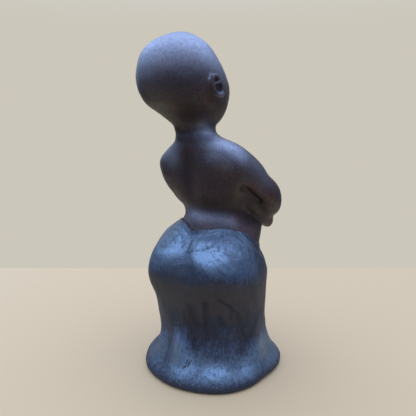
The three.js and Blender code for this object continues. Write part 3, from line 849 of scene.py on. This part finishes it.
clay = {
    # skin: brown-black clay with red-brown where the slip is thin; skirt: blue-black slip with a burnished
    # sheen; the bright sheen colours are partly painted highlight
    "skin": (0.0500, 0.0315, 0.0335, 1.0),
    "skinWorn": (0.125, 0.038, 0.030, 1.0),
    # black of the skin's speckle, and of the painted shade
    "skinDark": (0.016, 0.010, 0.011, 1.0),
    "skirt": (0.018, 0.025, 0.043, 1.0),
    "skirtMatte": (0.044, 0.038, 0.037, 1.0),
    # black of the dark slip strokes, and of the painted shade along the cleft, crease and nicks
    "skirtDark": (0.008, 0.009, 0.018, 1.0),
    # bright blue of the burnish and painted highlight, made like metal where it is whole
    "skirtBurnishHighlight": (0.185, 0.255, 0.330, 1.0),
    # a bluer colour of that sheen where the clay stands upright: painted sheen that changes with which way
    # the clay faces
    "skirtBurnishHighlightUpright": (0.105, 0.185, 0.340, 1.0),  # the same where the clay stands upright
    "dust": (0.16, 0.14, 0.12, 1.0),
    "skirtRoughness": (0.58, 0.38),  # unrubbed and rubbed
    # lower edge of the burnish and painted highlight over the seat: height, fall for each degree from the
    # cleft, the cleft's angle, and the degrees after which it falls no more
    "burnishHighlightSeat": (119.0, 0.29, 6.5, 70.0),
    "seatEdge": (-17.0, 8.0),  # heights about that edge between which it comes in
    "seatShare": 0.6,  # its strength all over
    "seatSides": (0.8, 60.0, 84.0),  # the share that is lost between these degrees from the cleft
    # where it is strongest: strength, angle, breadth, height, tallness
    "brightSeat": [(0.95, 23, 13, 121, 9), (0.45, -9, 12, 125, 12), (0.35, 48, 16, 114, 9)],
    # burnished places with painted highlight by the hem, in the same way
    "burnishHighlightHem": [
        (1.0, -3, 8, 37, 13), (0.55, -1, 8, 27, 9), (1.0, 3, 9, 19, 8), (0.8, 32, 14, 17, 6),
        (0.75, 84, 13, 25, 8), (0.5, 62, 12, 14, 8), (0.5, -30, 10, 30, 14), (0.6, 105, 16, 20, 16),
        (0.6, 180, 60, 22, 12),
    ],
    "hemFaint": (0.3, 20.0, 62.0),  # a sheen all round, and the heights between which it is lost
    "hemRim": (4.0, 12.0),  # heights between which all of these come in
    # the skirt's brown matte zone: low and high edge, and the width of both
    "matteZone": (60.0, 100.0, 19.0),
    # the low edge's rise on her left, the angles between which it ends, and the breadth of the rise
    "matteRise": (26.0, -30.0, 12.0, 100.0),
    # how its edges wander: reach, cell, flattening of the height, seed; and the high edge's share of it
    "matteWander": [(9.0, 13.0, 0.35, 8), (4.0, 5.0, 0.4, 9)],
    "matteHighWander": 0.7,
    # how far the clay faces up, which sets that painted sheen on the skirt
    "upwards": (0.0, 0.42),  # upright parts of the normal between which clay counts as looking up
    "strokesRound": ((-29, 30, 118), (20, 37, 121)),  # the middles of the arcs rubbed over the buttocks
    "arcsAbove": (0.098, 0.110),  # heights in metres between which they take over from upright strokes
    # painted shade: the highlight share is taken out of the hollow under the cleft
    "seatValleyShade": (0.9, 11, 8, 108, 9),  # dull hollow under the cleft, as the brightest places are given
    # stretches of the skin with burnish and painted highlight: both ends, radius, strength
    "burnishHighlightSkin": [
        ((-20, 46, 300), (16, 73, 294), 24.5, 1.0), ((-26, 40, 284), (-22, 52, 292), 18, 0.8),
        ((16, 74, 290), (32, 64, 284), 11, 0.8), ((-30, 48, 270), (-28, 52, 268), 2.8, 1.0),
        ((-32, 46, 255.5), (-34, 42, 256), 2.6, 0.9),  # crown, left rim, top and lobe of the ear
        ((-11, 35, 231), (-24, 31, 219), 8, 0.7), ((-24, 31, 218), (-41, 18, 209), 10.5, 0.9),
        ((-42, 16, 207), (-53, -6, 186), 10, 0.24), ((-24, 39, 206), (-34, 32, 201), 8, 0.35),
        ((31, 26, 212), (17, 40, 206), 9, 0.36),  # neck, shoulders and right blade
        ((12, 33, 156), (-8, 33, 152), 6, 0.40), ((-8, 33, 151), (-30, 14, 147), 6, 0.34),
    ],
    # bright blue-grey of the skin's burnish and painted highlight
    "burnishHighlightSkinColour": (0.365, 0.390, 0.460, 1.0),
    # painted shade on the skin, under the back of the head, down the back of the neck and the spine's hollow,
    # and under her right shoulder blade and arm and in the arm's crease: both ends, radius, strength
    "paintedShadeSkin": [
        ((26, 68, 248), (4, 52, 238), 14, 0.8), ((10, 42, 236), (4, 42, 216), 8, 0.6),
        ((-8, 31, 166), (-30, 13, 161), 8, 0.9), ((-30, 12, 158), (-40, -4, 150), 7, 0.9),
        ((1, 42, 206), (2, 36, 172), 6, 0.6), ((-38, 12, 175), (-49, -12, 161), 5.0, 1.0),
        ((-28, 20, 168), (-40, 2, 157), 9, 0.85),
    ],
    # the shadowed line of skin over the waist edge: the heights that it fades between, what her left
    # hip adds to the upper one, the least strength, what the hip adds to it, the hip's angle and breadth
    "waistGap": (0.3, 1.2, 1.4, 0.35, 0.65, -25, 32),
    # places where the red-brown shows: middle, radius, strength
    "worn": [
        ((-23.5, 59, 257), 6, 1.0), ((-26, 48, 252), 6, 1.0), ((-36, 42, 252), 6, 1.0),
        ((-4, 65, 247), 6, 1.0), ((2, 42, 212), 7, 1.0), ((-44, -2, 178), 8, 1.0),
        ((-36, 15, 173), 6, 1.0), ((-30, 10, 150), 9, 1.0), ((-54, -15, 164), 8, 1.0),
        ((-38, -46, 140), 8, 1.0), ((-44, 4, 133), 7, 1.0), ((-30, 56, 266), 4, 1.0),
    ],
    # patterns: scale for each metre, detail, roughness, distortion
    "patterns": {
        "cloudy": (38.0, 5.0, 0.6, 0.0),
        "mottle": (300.0, 4.0, 0.62, 0.0),
        "grain": (480.0, 4.0, 0.7, 0.0),
        "swirl": (120.0, 2.0, 0.5, 2.0),
        "upright": (240.0, 5.0, 0.62, 2.2),
        "arcs": (300.0, 4.0, 0.68, 1.1),
    },
    "arcsAlong": 0.26,  # how much an arc of strokes changes along its length
    # how a pattern shows in the finish: the pattern, two of its values, and the shares given at them
    "touches": {
        # on the skirt, grain is added to the share of burnish and painted highlight
        "raggedGrain": ("grain", 0.36, 0.64, 0.0, 0.14),  # added to the skirt's rubbed places
        "dullGrain": ("grain", 0.46, 0.34, 0.0, 0.34),  # kept dull within them
        "dullStrokes": ("strokes", 0.42, 0.10, 0.0, 0.3),
        "swirlPlaces": ("cloudy", 0.45, 0.60, 0.0, 1.0),  # where the thin dull swirls are
        "matteGrain": ("grain", 0.4, 0.6, 0.0, 0.2),  # added to the matte zone
        "matteCloud": ("cloudy", 0.30, 0.55, 0.65, 1.0),  # what is left of it
        "darkGrain": ("grain", 0.54, 0.38, 0.0, 0.6),  # black in the skin
        "wornCloud": ("cloudy", 0.50, 0.75, 0.0, 0.6),  # red-brown away from the worn places
        "wornGrain": ("grain", 0.42, 0.62, 0.0, 1.0),  # the red-brown's speckle
        "burnishHighlightSkinGrain": ("grain", 0.34, 0.58, 0.74, 1.0),  # what is left of the skin's sheen
        "skinRoughness": ("mottle", 0.60, 0.38, 0.42, 0.56),
    },
    "strokesEdge": (0.32, 0.68),  # values of their noise at which strokes begin and are whole
    # the sheen here is the burnish and painted highlight
    "ragged": (0.70, 0.34),  # what the rubbed places and the strokes count for in the sheen's edge
    "raggedEdge": (0.32, 1.00),  # the sums at which the sheen begins and is whole
    "swirls": (0.03, 0.45),  # half width, as a value of their noise, and strength
    "matteStrength": 0.8,
    "matteEdge": (0.25, 0.9),
    "heights": (0.3, 0.5, 0.3),  # of the mottle or strokes, of the grain, and the depth of the pits
    "dustStrength": 0.45,
    "dustDots": (560.0, 0.22, 0.07),  # scale, size in its cell, share of the cells
    "pits": (430.0, 0.26, 0.14),
    "dotCore": 0.4,  # share of a dot's or pit's size that is whole
    "reliefDepth": 0.0004,  # metres, of the finest relief
    "specular": 0.42,
    # upright clay keeps less of the metal sheen, part of the painted sheen by facing
    "uprightMetal": 0.35,  # how much of the metal sheen upright clay keeps
}


def nearStretches(points, stretches):
    # the largest bell of the distance from the stretches, each times its strength
    return np.max([
        strength * bump(awayFrom(points, a, b), radius) for a, b, radius, strength in stretches], axis=0)


def burnishHighlightPlaces(points):
    # where the burnish and painted highlight go: on the skirt the larger of two: a step above a line that
    # falls away on both sides of the cleft, and the spots by the hem over a faint sheen, none under the rim;
    # on the skin the strongest bell
    z, angle = points[:, 2], aroundBack(points)
    height, fall, cleftAngle, farthest = clay["burnishHighlightSeat"]
    away = np.abs(np.degrees(angleFrom(angle, math.radians(cleftAngle))))
    seat = smoothStep(*clay["seatEdge"], z - height + fall * np.minimum(away, farthest))
    seat *= clay["seatShare"] + sum(spot(z, angle, *s) for s in clay["brightSeat"])
    lost, near, far = clay["seatSides"]
    seat *= (1.0 - lost * smoothStep(near, far, away)) * (1.0 - spot(z, angle, *clay["seatValleyShade"]))
    faint, low, high = clay["hemFaint"]
    hem = sum(spot(z, angle, *s) for s in clay["burnishHighlightHem"]) + faint * (1.0 - smoothStep(low, high, z))
    hem = np.clip(hem, 0.0, 1.0) * smoothStep(*clay["hemRim"], z)
    onSkin = nearStretches(points, clay["burnishHighlightSkin"])
    return np.where(skirtShare(points) > 0.5, np.maximum(seat, hem), onSkin)


def mattePlaces(points):
    # a smooth step up over the low edge times one down over the high edge, both edges wandering by
    # two sizes of noise; the low edge rises on her left
    z, angle = points[:, 2], np.degrees(angleFrom(aroundBack(points), 0.0))
    low, high, width = clay["matteZone"]
    wander = sum(
        reach * clayNoise(points * (1, 1, flat), cell, seed)
        for reach, cell, flat, seed in clay["matteWander"])
    rise, start, end, breadth = clay["matteRise"]
    low = low + rise * (1.0 - smoothStep(start, end, angle)) * bump(angle, breadth)
    half = 0.5 * width
    above = smoothStep(-half, half, z - low + wander)
    return above * (1.0 - smoothStep(-half, half, z - high + clay["matteHighWander"] * wander))


def upwardPlaces(points, quads):
    # a smooth step of the normal's upright part
    return smoothStep(*clay["upwards"], pointNormals(points, quads)[:, 2])


def paintedShadePlaces(points):
    # painted shade, the larger of two: the shadowed line of skin above the waist edge, deepest where the
    # skirt crosses her left hip, and the strongest bell of the distance from the stretches of painted shade
    low, high, higher, least, more, hip, breadth = clay["waistGap"]
    angle = aroundBack(points)
    above = points[:, 2] - waistEdge(angle)
    left = bump(np.degrees(angleFrom(angle, math.radians(hip))), breadth)
    gap = np.where(above > 0, 1.0 - smoothStep(low, high + higher * left, above), 0.0)
    return np.maximum(gap * (least + more * left), nearStretches(points, clay["paintedShadeSkin"]))


class ShaderDesk:
    # short calls that add a node, set its sockets or link them, and give its result
    def __init__(self, material):
        # the material's node tree, its shader, and the place on the object in metres
        material.use_nodes = True
        self.tree = material.node_tree
        self.shader = self.tree.nodes["Principled BSDF"]
        self.place = self.add("ShaderNodeTexCoord").outputs["Object"]

    def add(self, kind, **settings):
        # a new node with its settings
        node = self.tree.nodes.new(kind)
        for name, value in settings.items():
            setattr(node, name, value)
        return node

    def put(self, socket, value):
        # a link where the value is another node's result, and else the number or colour itself
        if isinstance(value, bpy.types.NodeSocket):
            self.tree.links.new(value, socket)
        else:
            socket.default_value = value

    def fill(self, node, **values):
        # each value goes to the socket of its name, with a space for each underscore
        for name, value in values.items():
            self.put(node.inputs[name.replace("_", " ")], value)

    def share(self, name):
        # one of the numbers that writeShare keeps for each point
        return self.add("ShaderNodeAttribute", attribute_name=name).outputs["Fac"]

    def heightAbove(self):
        # the place's third number
        node = self.add("ShaderNodeSeparateXYZ")
        self.put(node.inputs[0], self.place)
        return node.outputs["Z"]

    def ringed(self, middles, along):
        # the distance from the nearest of the middles as the first number, plus the place shrunk by
        # along, so that a noise read there runs in arcs round the middles
        middles = [Vector(middle) * millimetre for middle in middles]
        distances = [self.vector("LENGTH", self.vector("SUBTRACT", self.place, m)) for m in middles]
        nearest = self.math("MINIMUM", *distances)
        outwards = self.vector("SCALE", (1.0, 0.0, 0.0), scale=nearest)
        return self.vector("ADD", outwards, self.vector("SCALE", self.place, scale=along))

    def stretched(self, x, y, z):
        # the place times three numbers, so that a noise read there is longer where they are small
        node = self.add("ShaderNodeMapping")
        self.fill(node, Vector=self.place, Scale=(x, y, z))
        return node.outputs["Vector"]

    def noise(self, vector, scale, detail, roughness, distortion):
        # noise from 0 to 1 of the vector times the scale
        node = self.add("ShaderNodeTexNoise")
        self.fill(node, Vector=vector, Scale=scale, Detail=detail, Roughness=roughness, Distortion=distortion)
        return node.outputs["Fac"]

    def math(self, operation, a, b):
        # two numbers joined by the operation, held between 0 and 1
        node = self.add("ShaderNodeMath", operation=operation, use_clamp=True)
        self.put(node.inputs[0], a)
        self.put(node.inputs[1], b)
        return node.outputs[0]

    def times(self, a, b):
        # their product
        return self.math("MULTIPLY", a, b)

    def plus(self, a, b):
        # their sum
        return self.math("ADD", a, b)

    def minus(self, a, b):
        # the first less the second
        return self.math("SUBTRACT", a, b)

    def larger(self, a, b):
        # the larger of the two
        return self.math("MAXIMUM", a, b)

    def spread(self, value, low, high, toLow=0.0, toHigh=1.0):
        # a straight line from low..high to toLow..toHigh, held at its ends
        node = self.add("ShaderNodeMapRange")
        self.fill(node, Value=value, From_Min=low, From_Max=high, To_Min=toLow, To_Max=toHigh)
        return node.outputs["Result"]

    def mix(self, share, a, b, kind="RGBA"):
        # a plus the share of the way from a to b, for colours or numbers
        node = self.add("ShaderNodeMix", data_type=kind)
        sockets = [s for s in node.inputs if s.enabled]
        for socket, value in zip(sockets, (share, a, b)):
            self.put(socket, value)
        return next(s for s in node.outputs if s.enabled)

    def vector(self, operation, a, b=(0.0, 0.0, 0.0), scale=None):
        # a sum, difference, scaled vector, dot product or length
        node = self.add("ShaderNodeVectorMath", operation=operation)
        self.put(node.inputs[0], a)
        self.put(node.inputs[1], b)
        if scale is not None:
            self.put(node.inputs["Scale"], scale)
        return node.outputs["Value" if operation in ("DOT_PRODUCT", "LENGTH") else "Vector"]

    def lines(self, table):
        # for each line, how far along it the place lies is held between its ends, and its share falls
        # from its strength to none over its width; the strongest share counts, at a place that wobbles
        # by a little noise
        wobble = self.add("ShaderNodeTexNoise")
        self.fill(wobble, Vector=self.place, Scale=marks["wobbleScale"], Detail=2.0)
        wobble = self.vector("SUBTRACT", wobble.outputs["Color"], (0.5, 0.5, 0.5))
        place = self.vector("ADD", self.place, self.vector("SCALE", wobble, scale=marks["wobble"]))
        strongest = 0.0
        for start, end, width, strength in table:
            a, b = (Vector(skirtPlace(*p) * millimetre) for p in (start, end))
            away = self.vector("SUBTRACT", place, a)
            reached = self.vector("DOT_PRODUCT", away, (b - a) / (b - a).length_squared)
            along = self.times(reached, 1.0)  # only to hold it between 0 and 1
            beside = self.vector("SUBTRACT", away, self.vector("SCALE", b - a, scale=along))
            near = self.vector("LENGTH", beside)
            share = self.spread(near, 0.0, width * millimetre, strength, 0.0)
            strongest = self.larger(share, strongest)
        return strongest

    def dots(self, scale, size, share):
        # random cells hold one dot each, whole up to its core's share of its size and gone at its size
        # from the cell's middle, in that share of the cells
        node = self.add("ShaderNodeTexVoronoi")
        self.fill(node, Vector=self.place, Scale=scale)
        near = self.spread(node.outputs["Distance"], size, size * clay["dotCore"])
        channels = self.add("ShaderNodeSeparateColor")
        self.put(channels.inputs[0], node.outputs["Color"])
        return self.times(near, self.math("LESS_THAN", channels.outputs[0], share))


def touch(desk, seen, name):
    # a straight line between the two shares at two values of the pattern
    pattern, *spread = clay["touches"][name]
    return desk.spread(seen[pattern], *spread)


def clayPatterns(desk):
    # every pattern as noise from 0 to 1, and the strokes, upright low down and in arcs over the seat
    places = {
        "cloudy": desk.stretched(1, 1, 0.8),
        "upright": desk.stretched(1, 1, 0.42),
        "arcs": desk.ringed(clay["strokesRound"], clay["arcsAlong"]),
    }
    seen = {
        name: desk.noise(places.get(name, desk.place), *numbers)
        for name, numbers in clay["patterns"].items()}
    overSeat = desk.spread(desk.heightAbove(), *clay["arcsAbove"])
    strokes = desk.mix(overSeat, seen["upright"], seen["arcs"], "FLOAT")
    seen["strokes"] = desk.spread(strokes, *clay["strokesEdge"])
    return seen


def skirtBurnishHighlightMask(desk, seen, strokesAndShade):
    # the share of burnish and painted highlight with strokes and grain added, so that its edge is ragged,
    # times one less what stays dull: the dark lines (dark slip strokes, and painted shade along the cleft,
    # crease and nicks), the deepest grain and strokes, or the thin swirls, which run where their noise is
    # near a half
    burnishHighlightPart, strokesPart = clay["ragged"]
    ragged = desk.times(desk.share("burnishHighlightShare"), burnishHighlightPart)
    ragged = desk.plus(ragged, desk.times(seen["strokes"], strokesPart))
    ragged = desk.plus(ragged, touch(desk, seen, "raggedGrain"))
    dull = desk.plus(strokesAndShade, touch(desk, seen, "dullGrain"))
    dull = desk.plus(dull, touch(desk, seen, "dullStrokes"))
    over, under = desk.minus(seen["swirl"], 0.5), desk.minus(0.5, seen["swirl"])
    halfWidth, strength = clay["swirls"]
    swirls = desk.spread(desk.plus(over, under), 0.0, halfWidth, strength, 0.0)
    swirls = desk.times(swirls, touch(desk, seen, "swirlPlaces"))
    dull = desk.larger(dull, swirls)
    return desk.times(desk.spread(ragged, *clay["raggedEdge"]), desk.minus(1.0, dull))


def skirtColour(desk, seen, burnishHighlight, strokesAndShade, upwards):
    # blue-black slip mixed with matte brown by the cloudy matte share, with black by the dark slip strokes
    # and the painted shade along the cleft, crease and nicks, and with the bright blue of the burnish and
    # painted highlight, deeper where the clay stands upright, a painted sheen that changes with which way the
    # clay faces
    matte = desk.times(desk.share("matteShare"), clay["matteStrength"])
    matte = desk.plus(matte, touch(desk, seen, "matteGrain"))
    cloud = touch(desk, seen, "matteCloud")
    matte = desk.times(desk.spread(matte, *clay["matteEdge"]), cloud)
    colour = desk.mix(matte, clay["skirt"], clay["skirtMatte"])
    colour = desk.mix(strokesAndShade, colour, clay["skirtDark"])
    return desk.mix(burnishHighlight, colour, desk.mix(upwards, clay["skirtBurnishHighlightUpright"], clay["skirtBurnishHighlight"]))


def skinColour(desk, seen, burnishHighlight):
    # brown-black mixed with black by the deep grain, with red-brown by grain times the worn and cloudy
    # shares, with the bright colour of the burnish and painted highlight, and with black by the share of
    # painted shade
    colour = desk.mix(touch(desk, seen, "darkGrain"), clay["skin"], clay["skinDark"])
    patchy = desk.plus(desk.share("wornShare"), touch(desk, seen, "wornCloud"))
    worn = desk.times(touch(desk, seen, "wornGrain"), patchy)
    colour = desk.mix(worn, colour, clay["skinWorn"])
    colour = desk.mix(burnishHighlight, colour, clay["burnishHighlightSkinColour"])
    return desk.mix(desk.share("paintedShadeShare"), colour, clay["skinDark"])


def clayRelief(desk, seen, onSkirt):
    # fine height: mottle or strokes and the grain, less the pits and the pressed lines
    handworkPart, grainPart, pitsPart = clay["heights"]
    handwork = desk.mix(onSkirt, seen["mottle"], seen["strokes"], "FLOAT")
    handwork = desk.times(handwork, handworkPart)
    height = desk.plus(handwork, desk.times(seen["grain"], grainPart))
    height = desk.minus(height, desk.times(desk.dots(*clay["pits"]), pitsPart))
    height = desk.minus(height, desk.lines(marks["pressed"]))
    lift = desk.add("ShaderNodeBump")
    desk.fill(lift, Strength=1.0, Distance=clay["reliefDepth"], Height=height)
    return lift.outputs["Normal"]


def clayMaterial():
    # skin and skirt mixed by the skirt's share, with dots of dust; the more a place has of the burnish and
    # painted highlight, the smoother it is and the more like metal, except that upright clay on the skirt has
    # less of that, a painted sheen that changes with which way the clay faces
    material = bpy.data.materials.new("fired clay")
    desk = ShaderDesk(material)
    seen, onSkirt, upwards = clayPatterns(desk), desk.share("skirtShare"), desk.share("upShare")
    strokesAndShade = desk.lines(marks["strokesAndShade"])
    burnishHighlight = skirtBurnishHighlightMask(desk, seen, strokesAndShade)
    skinBurnishHighlight = touch(desk, seen, "burnishHighlightSkinGrain")
    skinBurnishHighlight = desk.times(desk.share("burnishHighlightShare"), skinBurnishHighlight)
    cloth = skirtColour(desk, seen, burnishHighlight, strokesAndShade, upwards)
    colour = desk.mix(onSkirt, skinColour(desk, seen, skinBurnishHighlight), cloth)
    dust = desk.times(desk.dots(*clay["dustDots"]), clay["dustStrength"])
    skinRough = touch(desk, seen, "skinRoughness")
    skirtRough = desk.spread(burnishHighlight, 0.0, 1.0, *clay["skirtRoughness"])
    skinMetal = desk.times(skinBurnishHighlight, desk.minus(1.0, desk.share("paintedShadeShare")))
    skirtMetal = desk.times(burnishHighlight, desk.spread(upwards, 0.0, 1.0, clay["uprightMetal"], 1.0))
    desk.fill(
        desk.shader, Base_Color=desk.mix(dust, colour, clay["dust"]),
        Roughness=desk.mix(onSkirt, skinRough, skirtRough, "FLOAT"),
        Metallic=desk.mix(onSkirt, skinMetal, skirtMetal, "FLOAT"),
        Normal=clayRelief(desk, seen, onSkirt))
    desk.shader.inputs["Specular IOR Level"].default_value = clay["specular"]
    print("statuette: fired clay material")
    return material


studio = {
    "eye": (-0.21032, 0.35778, 0.213),  # the camera's place in metres
    "turn": 31.0,  # degrees from straight behind towards her right
    "pitch": 8.0,
    "lens": 37.2,  # millimetres, on a 36 millimetre sensor
    "floor": (0.67, 0.46, 0.24, 1.0),
    "floorRoughness": 0.7,
    "floorReach": (0.33, 0.25, 0.45),  # beyond her, towards the camera and to both sides
    # colour, then the side, elevation and smooth step of the axis round which it shines
    "backdrop": ((0.60, 0.57, 0.49, 1.0), 180, 1, 0.80, 0.855),
    "sky": ((1.25, 1.60, 2.45, 1.0), 0, 85, 0.15, 0.85),
    "room": (0.040, 0.045, 0.060, 1.0),
    # side (degrees from the camera round by its left), elevation, distance, width, watts, colour
    "lamps": {
        "left": (130, 28, 1.1, 0.8, 1.8, (0.50, 0.70, 1.0)),
        "window": (72, 14, 1.1, 0.5, 0.7, (0.45, 0.68, 1.0)),
        "right": (250, 4, 1.1, 0.7, 0.30, (0.7, 0.85, 1.0)),
    },
    "lampsAim": (0, 0, 0.15),
}


def addCamera():
    # stands behind her right shoulder; its look is level times the pitch's cosine less up times its
    # sine, and its up is right crossed with the look
    turn, pitch = math.radians(studio["turn"]), math.radians(studio["pitch"])
    back = Vector((-math.sin(turn), math.cos(turn), 0.0))
    right = Vector((-math.cos(turn), -math.sin(turn), 0.0))
    look = -back * math.cos(pitch) - Vector((0, 0, 1)) * math.sin(pitch)
    up = right.cross(look)
    camera = bpy.data.cameras.new("camera")
    camera.sensor_width = 36.0
    camera.lens = studio["lens"]
    camera.clip_start = 0.01
    eye = bpy.data.objects.new("camera", camera)
    eye.matrix_world = Matrix((
        (right.x, up.x, -look.x, studio["eye"][0]),
        (right.y, up.y, -look.y, studio["eye"][1]),
        (right.z, up.z, -look.z, studio["eye"][2]),
        (0, 0, 0, 1)))
    bpy.context.collection.objects.link(eye)
    bpy.context.scene.camera = eye


def addFloor():
    # four corners: the reach towards the camera or beyond her, plus or less the reach to the side
    turn = math.radians(studio["turn"])
    beyond, near, aside = studio["floorReach"]
    back = np.array((-math.sin(turn), math.cos(turn), 0.0))
    side = aside * np.array((-math.cos(turn), -math.sin(turn), 0.0))
    corners = np.stack([near * back + side, near * back - side, -beyond * back - side, -beyond * back + side])
    mesh = meshFrom("floor", corners, [np.array([[0, 1, 2, 3]])])
    floor = bpy.data.objects.new("floor", mesh)
    material = bpy.data.materials.new("floor")
    shader = ShaderDesk(material).shader
    shader.inputs["Base Color"].default_value = studio["floor"]
    shader.inputs["Roughness"].default_value = studio["floorRoughness"]
    mesh.materials.append(material)
    bpy.context.collection.objects.link(floor)


def addLamp(name, side, elevation, distance, width, watts, colour):
    # a square lamp at the distance from where it aims, by the sine and cosine of side and elevation
    side = math.radians(side - studio["turn"])
    level, rise = math.cos(math.radians(elevation)), math.sin(math.radians(elevation))
    middle = Vector(studio["lampsAim"])
    place = middle + distance * Vector((math.sin(side) * level, math.cos(side) * level, rise))
    lamp = bpy.data.lights.new(name, "AREA")
    lamp.shape = "SQUARE"
    lamp.size = width
    lamp.energy = watts
    lamp.color = colour
    light = bpy.data.objects.new(name, lamp)
    light.location = place
    light.rotation_euler = (middle - place).to_track_quat("-Z", "Y").to_euler()
    bpy.context.collection.objects.link(light)


def addWorld():
    # a dim room, mixed with the pale backdrop in front of her and then with a broad cool sky overhead,
    # by smooth steps of how far a direction faces their axes
    world = bpy.data.worlds.new("studio")
    bpy.context.scene.world = world
    world.use_nodes = True
    nodes, links = world.node_tree.nodes, world.node_tree.links
    place = nodes.new("ShaderNodeTexCoord").outputs["Generated"]

    def towards(side, elevation, low, high):
        # the smooth step from low to high of the direction's product with a unit axis
        level = math.cos(math.radians(elevation))
        side = math.radians(side - studio["turn"])
        facing = nodes.new("ShaderNodeVectorMath")
        facing.operation = "DOT_PRODUCT"
        facing.inputs[1].default_value = (
            math.sin(side) * level, math.cos(side) * level, math.sin(math.radians(elevation)))
        links.new(place, facing.inputs[0])
        share = nodes.new("ShaderNodeMapRange")
        share.interpolation_type = "SMOOTHSTEP"
        share.inputs["From Min"].default_value = low
        share.inputs["From Max"].default_value = high
        links.new(facing.outputs["Value"], share.inputs["Value"])
        return share.outputs["Result"]

    colour = None
    for name in ("backdrop", "sky"):
        light, *axis = studio[name]
        mix = nodes.new("ShaderNodeMix")
        mix.data_type = "RGBA"
        mix.inputs["A"].default_value = studio["room"]
        if colour:
            links.new(colour, mix.inputs["A"])
        mix.inputs["B"].default_value = light
        links.new(towards(*axis), mix.inputs["Factor"])
        colour = mix.outputs["Result"]
    links.new(colour, nodes["Background"].inputs["Color"])


print("studio: camera, floor, backdrop and lamps")
bpy.context.scene.view_settings.view_transform = "Standard"
addCamera()
addFloor()
addWorld()
for lampName, settings in studio["lamps"].items():
    addLamp(lampName, *settings)

statuette = statuetteClay()
statuette.data.materials.append(clayMaterial())
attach(statuette, "root")
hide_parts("statuette")
